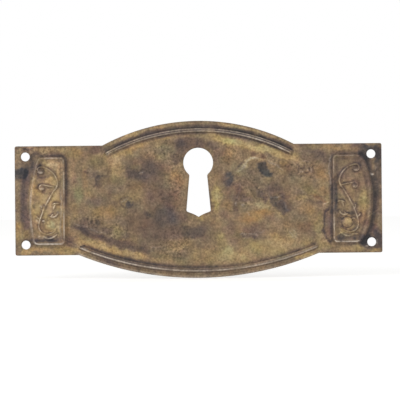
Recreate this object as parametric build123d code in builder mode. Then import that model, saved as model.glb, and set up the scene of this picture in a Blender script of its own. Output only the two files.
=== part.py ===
from build123d import *
import os
from math import asin, degrees, sqrt

# Keyhole escutcheon: one plate pressed from thin sheet brass, shown as it is nailed to a drawer front.
# X runs along the plate, Z is up and the face looks along -Y. The back lies in the plane Y = 0, and
# the origin is the middle of the four nail holes. All sizes are in millimetres.
# A height is measured from the back plane towards the face, so the sketch plane at a height is
# Plane.XZ.offset(height).

# Sheet and outline
sheet = 0.5
plate_width = 100.0
tab_height = 29.8
tab_corner_radius = 0.5
top_bow_chord = 52.2
top_bow_rise = 6.5
bottom_bow_chord = 65.4
bottom_bow_rise = 6.5
edge_break = 0.15

# Keyhole: a round for the key's barrel over a slot that widens downwards to a pointed foot
keyhole_radius = 4.05
keyhole_centre_height = 10.0
neck_width = 4.8
foot_width = 6.66
foot_depth = 13.3
tip_drop = 1.45
foot_edge_swell = 0.15

# Nail holes, one in each corner of the two tabs
nail_hole_radius = 1.2
nail_inset = 2.9

# Ribs: half-round beads beside the two bowed edges, with a groove behind each
top_rib_inset = 2.35
bottom_rib_inset = 2.05
rib_width = 1.45
rib_rise = 0.6
rib_groove_width = 0.7

# Panels: raised D-shaped tablets on the tabs, with a rim around a lower floor, hollow behind
panel_end_gap = 3.3
panel_width = 10.05
panel_height = 23.4
panel_bow_rise = 2.7
panel_corner_radius = 0.9
panel_slope = 1.2
rim_rise = 0.6
rim_crest_width = 0.3
rim_width = 0.55
floor_rise = 0.35
hollow_lip = 0.85
hollow_top_lip = 0.15

# Ornament on the panel floor: a whiplash stem with two curled buds, a fruit and leaves. The fine lines
# are coined, so only the fruit is hollow behind
stem_width = 0.6
stem_rise = 0.27
bud_radius = 0.62
bud_rise = 0.38
fruit_radius = 1.4
fruit_rise = 0.55
fruit_hollow_radius = 1.15
ornament_root = 0.1

tab_top = tab_height / 2
tab_end = plate_width / 2
crest_height = sheet + rim_rise
floor_height = sheet + floor_rise
panel_middle = tab_end - panel_end_gap - panel_width / 2


def cap_radius(half_width, rise):
    """Radius of the circle that has a cap this wide and this high."""
    return (half_width**2 + rise**2) / (2 * rise)


def across(path):
    """The plane square to a path at its start, with its first axis towards the face."""
    return Plane(origin=path @ 0, x_dir=(0, -1, 0), z_dir=path % 0)


def on_panel(u, w):
    """A place on the right-hand panel: u goes -1 to 1 towards the plate's end, w goes -1 to 1 upwards."""
    return panel_middle + u * panel_width / 2, w * panel_height / 2


# Plate blank: two square tabs joined by a middle with a bowed edge above and below
with BuildPart() as blank:
    with BuildSketch(Plane.XZ) as outline:
        with BuildLine():
            top_corner = (top_bow_chord / 2, tab_top)
            bottom_corner = (bottom_bow_chord / 2, -tab_top)
            Polyline(top_corner, (tab_end, tab_top), (tab_end, -tab_top), bottom_corner)
            mirror(about=Plane.YZ)
            top_apex = (0, tab_top + top_bow_rise)
            bottom_apex = (0, -tab_top - bottom_bow_rise)
            ThreePointArc((-top_bow_chord / 2, tab_top), top_apex, top_corner)
            ThreePointArc((-bottom_bow_chord / 2, -tab_top), bottom_apex, bottom_corner)
        make_face()
        corners = outline.vertices().group_by(Axis.X)
        fillet(corners[0] + corners[-1], tab_corner_radius)
    extrude(amount=sheet)
    chamfer(blank.faces().sort_by(Axis.Y)[0].edges(), edge_break)

# Keyhole, as the punch that cuts it
with BuildPart() as keyhole:
    with BuildSketch(Plane.XZ):
        with Locations((0, keyhole_centre_height)):
            Circle(keyhole_radius)
        with BuildLine():
            neck_drop = sqrt(keyhole_radius**2 - (neck_width / 2) ** 2)
            neck = (neck_width / 2, keyhole_centre_height - neck_drop)
            foot = (foot_width / 2, keyhole_centre_height - foot_depth)
            tip = (0, keyhole_centre_height - foot_depth - tip_drop)
            Polyline((0, keyhole_centre_height), neck, foot)
            SagittaArc(foot, tip, -foot_edge_swell)
            mirror(about=Plane.YZ)
        make_face()
    extrude(amount=crest_height)


def rib(chord, rise, inset, side):
    """A bead and its groove beside a bowed edge; side is 1 for the upper edge and -1 for the lower."""
    bow_radius = cap_radius(chord / 2, rise)
    centre = side * (tab_top + rise - bow_radius)
    half_angle = degrees(asin(chord / 2 / bow_radius))
    bead_radius = cap_radius(rib_width / 2, rib_rise)
    bead_height = sheet + rib_rise - bead_radius
    with BuildPart() as bead:
        with BuildLine(Plane.XZ.offset(bead_height)) as arc:
            CenterArc((0, centre), bow_radius - inset, side * 90 - half_angle, 2 * half_angle)
        with BuildSketch(across(arc.line)):
            Circle(bead_radius)
        sweep(path=arc.line)
        with Locations(arc.line @ 0, arc.line @ 1):
            Sphere(bead_radius)
        split(bisect_by=Plane.XZ.offset(sheet / 2))
    with BuildPart() as groove:
        with BuildLine(Plane.XZ) as arc:
            CenterArc((0, centre), bow_radius - inset, side * 90 - half_angle, 2 * half_angle)
        with BuildSketch(across(arc.line)):
            Rectangle(rib_rise, rib_groove_width, align=(Align.MIN, Align.CENTER))
        sweep(path=arc.line)
    return bead.part, groove.part


def panel_sketch(height, grow):
    """The D-shaped crest line of the right-hand panel, grown outwards by so much, at a height."""
    inner, half = on_panel(-1, 1)
    outer = inner + panel_width
    bow_end = outer - panel_bow_rise
    with BuildSketch(Plane.XZ.offset(height)) as shape:
        with BuildLine():
            Polyline((bow_end, half), (inner, half), (inner, -half), (bow_end, -half))
            ThreePointArc((bow_end, -half), (outer, 0), (bow_end, half))
        make_face()
        fillet(shape.vertices(), panel_corner_radius)
        offset(amount=grow)
    return shape.sketch


# Ornament lines in panel places: the first three points make an arc, and each later one ends an arc
# that runs on smoothly from the one before
main_stem = [(0.13, 0.64), (0.42, 0.71), (0.2, 0.79), (-0.64, 0.47), (-0.56, 0.28), (0.24, -0.37)]
main_stem += [(0.36, -0.53), (-0.11, -0.78), (-0.57, -0.68)]
branch = [(0.09, 0.24), (0.33, 0.3), (0.14, 0.37), (-0.58, 0.3)]
ground_leaf = [(-0.61, -0.78), (-0.15, -0.88), (0.38, -0.82)]
sprig = [(-0.75, -0.07), (-0.55, -0.13), (-0.45, -0.22)]
curl = [(-0.67, -0.27), (-0.51, -0.36), (-0.25, -0.35)]
thorn = [(0.12, -0.26), (0.21, -0.21), (0.21, -0.14)]
side_leaf = [(0.32, -0.43), (0.43, -0.39), (0.48, -0.34)]
ornament_lines = [main_stem, branch, ground_leaf, sprig, curl, thorn, side_leaf]
bud_places = [on_panel(0.21, 0.71), on_panel(0.16, 0.3)]
fruit_place = on_panel(-0.19, -0.54)


def dome(place, height, radius, rise):
    """A low dome with sides at 45 degrees, rooted below its plane, on a place of the panel at a height."""
    foot = Vector(place[0], -height, place[1])
    with BuildPart() as turned:
        with BuildSketch(Plane(origin=foot, x_dir=(1, 0, 0), z_dir=(0, 0, -1))):
            with BuildLine():
                Polyline((0, -ornament_root), (radius, -ornament_root), (radius, 0))
                Polyline((radius, 0), (radius - rise, rise), (0, rise))
                Line((0, rise), (0, -ornament_root))
            make_face()
        revolve(axis=Axis(foot, (0, -1, 0)))
    return turned.part


# Right-hand panel: what is raised above the face, what is sunk into it, and what is hollow behind it
with BuildPart() as tablet:
    add(panel_sketch(sheet, panel_slope))
    add(panel_sketch(crest_height, rim_crest_width / 2))
    loft(ruled=True)

with BuildPart() as floor_sink:
    add(panel_sketch(crest_height, -rim_crest_width / 2))
    add(panel_sketch(floor_height, -rim_width))
    loft(ruled=True)

with BuildPart() as hollow:
    add(panel_sketch(0, hollow_lip))
    add(panel_sketch(floor_rise, hollow_top_lip))
    loft(ruled=True)
    add(dome(fruit_place, floor_rise, fruit_hollow_radius, fruit_rise))

with BuildPart() as ornament:
    root_width = stem_width * (1 + ornament_root / stem_rise)
    for points in ornament_lines:
        places = [on_panel(u, w) for u, w in points]
        with BuildLine(Plane.XZ.offset(floor_height)) as route:
            arc = ThreePointArc(*places[:3])
            for place in places[3:]:
                arc = TangentArc(arc @ 1, place, tangent=arc % 1)
        path = route.wires()[0]
        with BuildSketch(across(path)):
            with BuildLine():
                left = (-ornament_root, root_width / 2)
                right = (-ornament_root, -root_width / 2)
                Polyline(left, (stem_rise, 0), right, left)
            make_face()
        sweep(path=path)
    for place in bud_places:
        add(dome(place, floor_height, bud_radius, bud_rise))
    add(dome(fruit_place, floor_height, fruit_radius, fruit_rise))

# The finished plate: the blank pressed, then pierced
with BuildPart() as plate:
    add(blank.part)
    for chord, rise, inset, side in [
        (top_bow_chord, top_bow_rise, top_rib_inset, 1),
        (bottom_bow_chord, bottom_bow_rise, bottom_rib_inset, -1),
    ]:
        bead, groove = rib(chord, rise, inset, side)
        add(bead)
        add(groove, mode=Mode.SUBTRACT)
    for body, mode in [
        (tablet.part, Mode.ADD),
        (floor_sink.part, Mode.SUBTRACT),
        (ornament.part, Mode.ADD),
        (hollow.part, Mode.SUBTRACT),
    ]:
        add(body, mode=mode)
        mirror(body, about=Plane.YZ, mode=mode)
    add(keyhole.part, mode=Mode.SUBTRACT)
    nail_x = tab_end - nail_inset
    nail_z = tab_top - nail_inset
    with Locations(Plane.XZ):
        with GridLocations(2 * nail_x, 2 * nail_z, 2, 2):
            Cylinder(nail_hole_radius, 2 * crest_height, mode=Mode.SUBTRACT)

plate.part.label = "escutcheon_plate"
os.makedirs("parts", exist_ok=True)
export_step(plate.part, "parts/escutcheon_plate.step")
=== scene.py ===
import bpy
import numpy as np
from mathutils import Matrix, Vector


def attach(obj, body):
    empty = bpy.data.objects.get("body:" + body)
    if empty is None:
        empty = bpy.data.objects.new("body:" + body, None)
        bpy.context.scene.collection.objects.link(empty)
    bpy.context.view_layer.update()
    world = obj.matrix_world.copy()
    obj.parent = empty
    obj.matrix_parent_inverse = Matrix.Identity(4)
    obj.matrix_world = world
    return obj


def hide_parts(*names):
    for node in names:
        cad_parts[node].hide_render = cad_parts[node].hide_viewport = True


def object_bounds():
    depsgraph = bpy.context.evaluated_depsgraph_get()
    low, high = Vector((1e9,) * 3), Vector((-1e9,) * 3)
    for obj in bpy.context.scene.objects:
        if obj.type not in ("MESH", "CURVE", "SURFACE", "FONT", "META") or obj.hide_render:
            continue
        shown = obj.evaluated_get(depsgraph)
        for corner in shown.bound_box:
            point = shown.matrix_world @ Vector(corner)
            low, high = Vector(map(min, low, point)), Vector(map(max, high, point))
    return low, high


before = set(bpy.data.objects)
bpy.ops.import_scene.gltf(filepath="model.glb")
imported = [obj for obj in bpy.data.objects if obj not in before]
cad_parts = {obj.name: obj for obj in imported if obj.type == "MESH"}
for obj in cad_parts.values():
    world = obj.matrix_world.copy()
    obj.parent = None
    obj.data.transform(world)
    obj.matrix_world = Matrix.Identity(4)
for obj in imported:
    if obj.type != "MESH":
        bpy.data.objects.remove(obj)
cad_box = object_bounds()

# Escutcheon plate: one leaf of thin sheet brass, blanked and pierced with punches and pressed over a die
# that raises two ribs and two ornamented panels. Four small nails would hold it to a drawer front. Its
# lacquer went long ago, so the brass is brown and blotched, dirty in its corners and worn on its high lines.

# Outline, in millimetres: x runs along the plate, z is up, and heights stand out from the back, towards -y.
# The upper (1) and the lower (-1) bow each have a chord and a rise
sheet = 0.5
tab_end = 50.0
tab_top = 14.9
tab_corner = 0.5
bows = {1: (52.2, 6.5), -1: (65.4, 6.5)}
edge_roll = 0.22
edge_drop = 0.18
burr = 0.04


def bow_circle(side):
    """Radius and centre height of a bowed edge: the circle through both ends of its chord and its crown."""
    chord, rise = bows[side]
    radius = (chord**2 / 4 + rise**2) / (2 * rise)
    return radius, side * (tab_top + rise - radius)


def edge_height(x, side, inset):
    """Height of an edge moved inwards: the tab's line or the bow, whichever is further out."""
    radius, centre = bow_circle(side)
    bow = side * centre + np.sqrt(np.maximum((radius - inset) ** 2 - x**2, 0))
    return side * np.maximum(tab_top - inset, bow)


def bow_end(side, inset):
    """Where the bow moved inwards meets the tab's line moved inwards, by Pythagoras from the bow's centre."""
    radius, centre = bow_circle(side)
    return np.sqrt((radius - inset) ** 2 - (tab_top - inset - side * centre) ** 2)


# Holes: the keyhole is a round over a slot that widens down to a pointed foot, and a nail goes in each corner
keyhole_radius = 4.05
keyhole_height = 10.0
neck_width = 4.8
foot_width = 6.66
foot_depth = 13.3
tip_drop = 1.45
foot_swell = 0.15
foot_corner = 0.3
nail_radius = 1.2
nail_inset = 2.9


def rounded_meet(a, b, radius):
    """Distance to what two forms share: the larger of theirs, or the hypotenuse of both round the corner."""
    beyond = np.hypot(np.maximum(a + radius, 0), np.maximum(b + radius, 0))
    return np.minimum(np.maximum(a, b), -radius) + beyond


def hole_distance(x, z):
    """Distance to the nearest hole's edge, negative inside: circles, and a slot of two lines and two arcs."""
    across = np.abs(x)
    barrel = np.hypot(x, z - keyhole_height) - keyhole_radius
    neck_z = keyhole_height - np.sqrt(keyhole_radius**2 - neck_width**2 / 4)
    foot_z = keyhole_height - foot_depth
    flare = (foot_width - neck_width) / 2 / (neck_z - foot_z)
    side = (across - neck_width / 2 - flare * (neck_z - z)) / np.hypot(1, flare)
    chord = np.hypot(foot_width / 2, tip_drop)
    arc_radius = (chord**2 / 4 + foot_swell**2) / (2 * foot_swell)
    arc_x = foot_width / 4 + (arc_radius - foot_swell) * tip_drop / chord
    arc_z = foot_z - tip_drop / 2 - (arc_radius - foot_swell) * foot_width / 2 / chord
    foot = arc_radius - np.hypot(across - arc_x, z - arc_z)
    slot = np.maximum(rounded_meet(side, foot, foot_corner), z - keyhole_height)
    nails = np.hypot(across - tab_end + nail_inset, np.abs(z) - tab_top + nail_inset) - nail_radius
    return np.minimum(np.minimum(barrel, slot), nails)


# Ribs: a half-round bead beside each bowed edge, with a groove behind it
rib_inset = {1: 2.45, -1: 2.05}
rib_half = 0.78
rib_rise = 0.6
rib_crown = 1.25
rib_end_loss = 0.15
rib_end_taper = 5.0
groove_half = 0.5
groove_rise = 0.51


def rib_place(x, z, side):
    """How far a place lies above a rib's middle line, and how far it lies past the rib's nearer end."""
    radius, centre = bow_circle(side)
    line = radius - rib_inset[side]
    angle = np.abs(np.arctan2(x, side * (z - centre)))
    half_angle = np.arcsin(bows[side][0] / 2 / radius)
    return side * (np.hypot(x, z - centre) - line), (angle - half_angle) * line


def rib_bead(x, z, half):
    """Height of both beads, from 0 to 1: a parabola over the half width, which narrows to round ends, raised
    to a power that narrows its crown."""
    dome = 0
    for side in (1, -1):
        above, past_end = rib_place(x, z, side)
        width = half * (1 - rib_end_loss * (1 + np.clip(past_end / rib_end_taper, -1, 0)))
        dome = np.maximum(dome, 1 - (np.hypot(above, np.maximum(past_end, 0)) / width) ** 2)
    return dome**rib_crown


# Panels: a D-shaped tablet on each tab, with a fine rim around a lower floor
panel_inner = 36.65
panel_outer = 46.7
panel_half = 11.7
panel_bow_end = 44.0
panel_drop = 0.12
panel_corner = 0.9
panel_slope = 1.2
rim_rise = 0.6
rim_half = 0.28
floor_rise = 0.35
floor_start = -0.1
floor_at_rim = 0.9

# How far the right (1) and the left (-1) panel stray from that: the bow's crown, its lean and the inner side
bow_stray = {1: 0.25, -1: -1.0}
bow_lean = {1: 0.0, -1: 0.05}
inner_stray = {1: 0.22, -1: 0.0}


def by_side(x, values):
    """The right-hand value (1) where x is above 0, and the left-hand one (-1) elsewhere."""
    return np.where(x > 0, values[1], values[-1])


def panel_distance(x, z):
    """Distance from the nearer panel's rim, negative inside: three sides and a bow, with rounded corners."""
    across = np.abs(x)
    z = z + panel_drop
    inner = panel_inner + by_side(x, inner_stray)
    bow_depth = panel_outer - panel_bow_end + by_side(x, bow_stray)
    bow_radius = (panel_half**2 + bow_depth**2) / (2 * bow_depth)
    bow = np.hypot(across - panel_bow_end - bow_depth + bow_radius, z) - bow_radius
    bow = bow + z * by_side(x, bow_lean)
    sides = rounded_meet(inner - across, np.abs(z) - panel_half, panel_corner)
    return rounded_meet(sides, bow, panel_corner)


def ease(low, high, value):
    """Smooth step from 0 at low to 1 at high, three squares less two cubes of the share between."""
    share = np.clip((value - low) / (high - low), 0, 1)
    return share**2 * (3 - 2 * share)


def bell(value, half):
    """Bell curve: 1 at 0, falling to 1/e at the half width on either side."""
    return np.exp(-((value / half) ** 2))


def panel_height(x, z):
    """Height of the panels over the face: a slope up to the floor, and a bell curve for the rim."""
    gap = panel_distance(x, z)
    table = floor_rise * ease(panel_slope, floor_start, gap)
    return table + (rim_rise - floor_rise * floor_at_rim) * bell(gap, rim_half)


# Ornament on both floors, in shares of the panel's half sizes: a whiplash stem, a branch, leaves, two curled
# buds and a fruit. Each line has its places, half width and rise, and each dome its middle, radius and rise
main_stem = [(0.13, 0.64), (0.42, 0.71), (0.2, 0.79), (-0.64, 0.47), (-0.56, 0.28), (0.24, -0.37)]
main_stem += [(0.36, -0.53), (-0.11, -0.78), (-0.57, -0.68)]
ornament_lines = [
    (main_stem, 0.25, 0.25),
    ([(0.09, 0.25), (0.32, 0.3), (0.14, 0.37), (-0.56, 0.31)], 0.24, 0.25),
    ([(-0.61, -0.79), (-0.3, -0.87), (0.05, -0.86)], 0.3, 0.22),
    ([(-0.02, -0.85), (0.18, -0.83), (0.36, -0.84)], 0.24, 0.2),
    ([(-0.76, -0.08), (-0.58, -0.06), (-0.38, -0.1)], 0.24, 0.22),
    ([(-0.55, -0.09), (-0.47, -0.14), (-0.43, -0.21)], 0.26, 0.22),
    ([(-0.66, -0.29), (-0.48, -0.38), (-0.23, -0.36)], 0.28, 0.24),
    ([(-0.4, -0.31), (-0.36, -0.34), (-0.3, -0.36)], 0.22, 0.2),
    ([(0.13, -0.24), (0.19, -0.2), (0.2, -0.15)], 0.26, 0.22),
    ([(0.33, -0.42), (0.42, -0.4), (0.46, -0.36)], 0.24, 0.2),
    ([(0.02, -0.48), (0.1, -0.47), (0.18, -0.48)], 0.24, 0.2),
]
line_thinning = 0.45
buds = [((0.22, 0.69), 0.78, 0.34), ((0.16, 0.31), 0.72, 0.34)]
fruit = ((-0.25, -0.56), 1.42, 0.5)
rim_clearance = 0.3
far_away = 9.0


def on_panel(places):
    """Panel places as complex numbers x + iz in millimetres, on the right-hand panel."""
    shares = np.array(places, float)
    middle = (panel_inner + panel_outer) / 2
    return middle + shares[..., 0] * (panel_outer - panel_inner) / 2 + 1j * shares[..., 1] * panel_half


def arc_chain(places, steps=14):
    """Points along arcs: the first three places share one, and each later place ends one that leaves without
    a kink. Along an arc the reach from its start goes as the sine of the angle from its first heading."""
    bend = np.angle((places[2] - places[1]) / (places[1] - places[0]))
    heading = (places[2] - places[0]) * np.exp(-1j * bend)
    heading /= abs(heading)
    share = np.linspace(0, 1, steps + 1)[1:]
    runs = [places[:1]]
    for start, end in zip(np.append(places[0], places[2:-1]), places[2:]):
        turn = np.angle((end - start) / heading)
        reach = abs(end - start) * share * np.sinc(share * turn / np.pi) / np.sinc(turn / np.pi)
        runs.append(start + reach * heading * np.exp(1j * turn * share))
        heading *= np.exp(2j * turn)
    return np.concatenate(runs)


def line_distance(points, line):
    """Distance from points to a line of straight runs, and the share of the line at the nearest place."""
    start, run = line[:-1], np.diff(line)
    offset = points[:, None] - start
    share = np.clip((offset * run.conj()).real / np.abs(run) ** 2, 0, 1)
    distance = np.abs(offset - share * run)
    nearest_run = distance.argmin(1)
    pick = np.arange(len(points)), nearest_run
    return distance[pick], (nearest_run + share[pick]) / len(run)


def ornament(x, z):
    """Height of the ornament over the floor, and the distance from its edge, negative on it. Lines
    are half an ellipse across and thin towards their ends by a fourth power. Domes are half ellipsoids."""
    height = np.zeros(x.shape)
    edge = np.full(x.shape, far_away)
    inside = panel_distance(x, z) < -rim_clearance
    points = np.abs(x[inside]) + 1j * z[inside]
    forms = []
    for places, half, rise in ornament_lines:
        gap, share = line_distance(points, arc_chain(on_panel(places)))
        forms.append((gap, half * (1 - line_thinning * np.abs(2 * share - 1) ** 4), rise))
    for middle, radius, rise in [*buds, fruit]:
        forms.append((np.abs(points - on_panel(middle)), radius, rise))
    height[inside] = np.max([rise * np.sqrt(np.maximum(1 - (g / w) ** 2, 0)) for g, w, rise in forms], 0)
    edge[inside] = np.min([g - w for g, w, _ in forms], 0)
    return height, edge


# Uneven sheet: slow waves left by the press, as span, size and seed, and a few dents, as place, half sizes,
# depth, and turn in degrees where there is one
press_waves = [(30, 0.035, 3), (9, 0.015, 4)]
wave_count = 12
wave_spread = (0.6, 1.7)
dent_softness = 0.5
dents = [
    (17.9, 8.1, 1.7, 1.2, 0.16, -38),
    (-19.75, -0.9, 1.2, 1, 0.09),
    (14, -10, 2.6, 0.5, 0.1, 3),
    (22.5, -1.6, 2.6, 1.4, 0.06, -20),
    (-14, 8.3, 2.4, 1.8, 0.05, 20),
]


def ripples(x, z, *layers):
    """Soft noise: each layer adds sine waves about its span long in random directions, to about its size."""
    total = 0
    for span, size, seed in layers:
        draw = np.random.default_rng(seed)
        turns, phases = draw.uniform(0, 2 * np.pi, (2, wave_count))
        paces = 2 * np.pi / (span * draw.uniform(*wave_spread, wave_count))
        waves = [np.sin(n * (x * np.cos(t) + z * np.sin(t)) + p) for n, t, p in zip(paces, turns, phases)]
        total = total + size * np.sum(waves, 0) / np.sqrt(wave_count / 2)
    return total


def marked(x, z, marks, softness, kinds=1):
    """Sum over the marks of their amounts, of one or more kinds. Each is full in the middle of a turned
    ellipse and eases to 0 across its rim, over a share of its half sizes. What a mark leaves out is 0."""
    total = np.zeros((*x.shape, kinds))
    for mark in marks:
        left_out = [0] * (5 + kinds - len(mark))
        at_x, at_z, half_long, half_wide, *amounts, turn = [*mark, *left_out]
        offset = (x - at_x + 1j * (z - at_z)) * np.exp(-1j * np.radians(turn))
        reach = np.hypot(offset.real / half_long, offset.imag / half_wide)
        total += ease(1 + softness, 1 - softness, reach)[..., None] * amounts
    return total


def sway(x, z):
    """How far the whole sheet stands off true: the waves, less the dents."""
    return ripples(x, z, *press_waves) - marked(x, z, dents, dent_softness)[..., 0]


def face_height(x, z):
    """Height of the face over the back plane: the sheet, and what the die raised on it."""
    return sheet + rib_rise * rib_bead(x, z, rib_half) + panel_height(x, z) + ornament(x, z)[0] + sway(x, z)


# Back, as the die left it: softer and shallower hollows behind what stands out on the face
back_slope = 0.85
back_ornament = 0.45


def back_height(x, z):
    """Height of the back: the panels' slope and floor, the grooves and a share of the ornament."""
    panel = floor_rise * ease(back_slope, floor_start, panel_distance(x, z))
    groove = groove_rise * rib_bead(x, z, groove_half)
    return np.maximum(panel + groove + back_ornament * ornament(x, z)[0] + sway(x, z), 0)


# Grid of the plate: columns close together on the panels, rows close together along the ribs
column_stops = [0, 6, bow_end(1, edge_roll), bow_end(-1, edge_roll), 35.1, 48.3, tab_end - edge_roll]
column_counts = [13, 44, 14, 6, 56, 5]
row_stops = [0, 0.02, 0.115, 0.885, 0.98, 1]
row_counts = [4, 24, 100, 24, 4]


def stations(stops, counts):
    """Evenly spaced values between each stop and the next, with the last stop at the end."""
    runs = [np.linspace(a, b, n, endpoint=False) for a, b, n in zip(stops, stops[1:], counts)]
    return np.append(np.concatenate(runs), stops[-1])


half_columns = stations(column_stops, column_counts)
columns = np.concatenate([-half_columns[:0:-1], half_columns])
grid_x, grid_share = np.meshgrid(columns, stations(row_stops, row_counts))
lower_edge = edge_height(grid_x, -1, edge_roll)
grid_z = lower_edge + grid_share * (edge_height(grid_x, 1, edge_roll) - lower_edge)

# Outer corners of the tabs: what lies beyond the corner's arc is drawn in to it
corner_x = np.maximum(np.abs(grid_x) - tab_end + tab_corner, 0)
corner_z = np.maximum(np.abs(grid_z) - tab_top + tab_corner, 0)
in_corner = (np.abs(grid_x) > panel_inner) & (corner_x > 0) & (corner_z > 0)
reach = np.where(in_corner, np.hypot(corner_x, corner_z), tab_corner)
pull = np.where(in_corner, np.minimum(1, (tab_corner - edge_roll) / reach), 1)
grid_x = grid_x - np.sign(grid_x) * corner_x * (1 - pull)
grid_z = grid_z - np.sign(grid_z) * corner_z * (1 - pull)

# Pierced edges: where a grid edge crosses a hole's rim, its nearer end moves onto the rim along the slope of
# the distance, and the points left inside go
probe = 0.01
least_slope = 0.25
moves = 3
rim_gap = hole_distance(grid_x, grid_z) - edge_roll
on_rim = np.zeros(grid_x.shape, bool)
for here, there in [(np.s_[:-1, :], np.s_[1:, :]), (np.s_[:, :-1], np.s_[:, 1:])]:
    crossing = (rim_gap[here] < 0) != (rim_gap[there] < 0)
    nearer = np.abs(rim_gap[here]) <= np.abs(rim_gap[there])
    on_rim[here] |= crossing & nearer
    on_rim[there] |= crossing & ~nearer
kept = (rim_gap >= 0) | on_rim
for _ in range(moves):
    slope_x = (hole_distance(grid_x + probe, grid_z) - hole_distance(grid_x - probe, grid_z)) / (2 * probe)
    slope_z = (hole_distance(grid_x, grid_z + probe) - hole_distance(grid_x, grid_z - probe)) / (2 * probe)
    step = np.where(on_rim, rim_gap / np.maximum(slope_x**2 + slope_z**2, least_slope), 0)
    grid_x = grid_x - step * slope_x
    grid_z = grid_z - step * slope_z
    rim_gap = hole_distance(grid_x, grid_z) - edge_roll
flat_x, flat_z = grid_x.ravel(), grid_z.ravel()
kept, on_rim = kept.ravel(), on_rim.ravel()

# Faces: squares of the grid, and triangles where a square touches a hole
grid_number = np.arange(grid_x.size).reshape(grid_x.shape)
quarters = [grid_number[:-1, :-1], grid_number[:-1, 1:], grid_number[1:, 1:], grid_number[1:, :-1]]
squares = np.stack(quarters, -1).reshape(-1, 4)
whole = kept[squares].all(1) & ~on_rim[squares].any(1)
cut = squares[~whole & (kept[squares].sum(1) >= 3)]
squares = squares[whole]
flat_place = flat_x + 1j * flat_z
diagonals = np.abs(flat_place[cut[:, :2]] - flat_place[cut[:, 2:]])
gone = ~kept[cut[:, 0]] | ~kept[cut[:, 2]]
other_way = np.where(kept[cut].all(1), diagonals[:, 1] < diagonals[:, 0], gone)[:, None]
first = np.where(other_way, cut[:, [1, 2, 3]], cut[:, [0, 1, 2]])
second = np.where(other_way, cut[:, [0, 1, 3]], cut[:, [0, 2, 3]])
triangles = np.concatenate([first, second])
spans = flat_place[triangles[:, 1:]] - flat_place[triangles[:, :1]]
smallest_face = 0.002
sound = (spans[:, 0].conj() * spans[:, 1]).imag / 2 > smallest_face
triangles = triangles[sound & kept[triangles].all(1)]

# Numbers without gaps for the points in use
used = np.unique(np.concatenate([squares.ravel(), triangles.ravel()]))
renumber = np.zeros(grid_x.size, int)
renumber[used] = np.arange(len(used))
squares, triangles = renumber[squares], renumber[triangles]
face_x, face_z = flat_x[used], flat_z[used]
count = len(used)

# Border of the face: the directed edges that no neighbouring face runs back along
edges = np.concatenate([np.stack([f, np.roll(f, -1, 1)], -1).reshape(-1, 2) for f in (squares, triangles)])
border = edges[~np.isin(edges[:, 0] * count + edges[:, 1], edges[:, 1] * count + edges[:, 0])]
border = border[np.argsort(border[:, 0])]
rim_points = border[:, 0]
rim_count = len(rim_points)
order_on_rim = np.zeros(count, int)
order_on_rim[rim_points] = np.arange(rim_count)
following = order_on_rim[border[:, 1]]
before = np.zeros(rim_count, int)
before[following] = np.arange(rim_count)

# Outward direction at each border point: the mean of both edges' normals, stretched so that both move alike
rim_place = face_x[rim_points] + 1j * face_z[rim_points]
normal = -1j * (rim_place[following] - rim_place)
normal /= np.abs(normal)
both_normals = normal + normal[before]
outward = 2 * both_normals / np.maximum(np.abs(both_normals) ** 2, 1)

# Cut edge: rings that roll over from the face by a quarter of an ellipse, go straight back, and end in a burr
roll_angles = np.radians([22.5, 45, 67.5, 90])
ring_out = np.append(edge_roll * np.sin(roll_angles), edge_roll)
rim_face = face_height(rim_place.real, rim_place.imag)
rim_back = back_height(rim_place.real, rim_place.imag)
ring_height = [rim_face - edge_drop * (1 - np.cos(angle)) for angle in roll_angles] + [rim_back + burr]
ring_place = rim_place + ring_out[:, None] * outward
all_x = np.concatenate([face_x, face_x, ring_place.real.ravel()])
all_z = np.concatenate([face_z, face_z, ring_place.imag.ravel()])
all_height = np.concatenate([face_height(face_x, face_z), back_height(face_x, face_z), np.ravel(ring_height)])

# Faces of the back run the other way round, and each ring is joined to the next
rings = [2 * count + rim_count * k + np.arange(rim_count) for k in range(len(ring_out))]
rings = [rim_points, *rings, rim_points + count]
strips = [np.stack([a[following], a, b, b[following]], -1) for a, b in zip(rings, rings[1:])]
four_sided = np.concatenate([squares, squares[:, ::-1] + count, *strips])
three_sided = np.concatenate([triangles, triangles[:, ::-1] + count])


def added(name, data):
    """A new object of this mesh, lamp or camera, in the scene."""
    made = bpy.data.objects.new(name, data)
    bpy.context.scene.collection.objects.link(made)
    return made


metre = 0.001
sharp_edge = np.radians(40)
mesh = bpy.data.meshes.new("escutcheon_plate_pressed")
mesh.vertices.add(len(all_x))
mesh.vertices.foreach_set("co", np.stack([all_x, -all_height, all_z], -1).ravel() * metre)
mesh.loops.add(four_sided.size + three_sided.size)
mesh.loops.foreach_set("vertex_index", np.concatenate([four_sided.ravel(), three_sided.ravel()]))
starts = np.append(np.arange(len(four_sided)) * 4, four_sided.size + np.arange(len(three_sided)) * 3)
mesh.polygons.add(len(starts))
mesh.polygons.foreach_set("loop_start", starts)
mesh.update(calc_edges=True)
mesh.validate()
mesh.shade_smooth()
mesh.set_sharp_from_angle(angle=sharp_edge)
plate = added("escutcheon_plate_pressed", mesh)

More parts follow.
